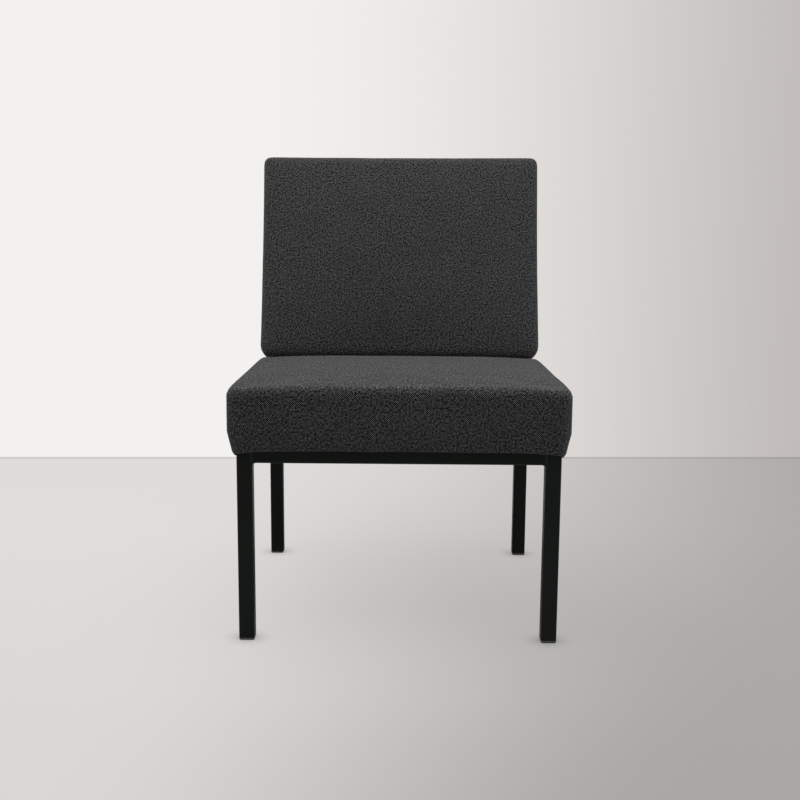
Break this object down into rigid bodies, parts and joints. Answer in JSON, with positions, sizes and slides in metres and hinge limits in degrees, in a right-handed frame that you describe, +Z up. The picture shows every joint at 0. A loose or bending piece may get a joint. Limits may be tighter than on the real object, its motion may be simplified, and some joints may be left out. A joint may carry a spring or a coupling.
{
  "type": "slipper chair",
  "caption": "Armless low lounge chair: a crowned upholstered seat on a square steel tube frame, with an upholstered back leaning on tube uprights.",
  "frame": {"origin": "on the floor, at the middle of the chair's footprint box", "axes": "+Z up, -Y the way the sitter faces, +X to the right as the chair is seen from the front"},
  "size_m": [0.54, 0.6182, 0.7847],
  "materials": {
    "frame_paint": "satin",
    "upholstery": "matte",
    "backing_cloth": "matte",
    "foam": "matte",
    "plywood": "matte",
    "black_plastic": "matte",
    "zinc_steel": "satin"
  },
  "bodies": {
    "root": {"front_left_leg": "frame_paint", "front_left_glide": "black_plastic", "front_right_leg": "frame_paint", "front_right_glide": "black_plastic", "rear_left_leg": "frame_paint", "rear_left_glide": "black_plastic", "rear_right_leg": "frame_paint", "rear_right_glide": "black_plastic", "front_rail": "frame_paint", "rear_rail": "frame_paint", "left_side_rail": "frame_paint", "right_side_rail": "frame_paint", "left_upright": "frame_paint", "left_upright_plug": "black_plastic", "right_upright": "frame_paint", "right_upright_plug": "black_plastic", "seat_board": "plywood", "seat_foam": "foam", "seat_cover": "upholstery", "seat_tee_nut_front_left": "zinc_steel", "seat_washer_front_left": "zinc_steel", "seat_screw_front_left": "zinc_steel", "seat_tee_nut_front_right": "zinc_steel", "seat_washer_front_right": "zinc_steel", "seat_screw_front_right": "zinc_steel", "seat_tee_nut_rear_left": "zinc_steel", "seat_washer_rear_left": "zinc_steel", "seat_screw_rear_left": "zinc_steel", "seat_tee_nut_rear_right": "zinc_steel", "seat_washer_rear_right": "zinc_steel", "seat_screw_rear_right": "zinc_steel", "back_board": "plywood", "back_foam": "foam", "back_cover": "upholstery", "back_tee_nut_lower_left": "zinc_steel", "back_washer_lower_left": "zinc_steel", "back_screw_lower_left": "zinc_steel", "back_tee_nut_lower_right": "zinc_steel", "back_washer_lower_right": "zinc_steel", "back_screw_lower_right": "zinc_steel", "back_tee_nut_upper_left": "zinc_steel", "back_washer_upper_left": "zinc_steel", "back_screw_upper_left": "zinc_steel", "back_tee_nut_upper_right": "zinc_steel", "back_washer_upper_right": "zinc_steel", "back_screw_upper_right": "zinc_steel", "seat_dust_cover": "backing_cloth", "back_rear_panel": "upholstery"}
  },
  "joints": []
}
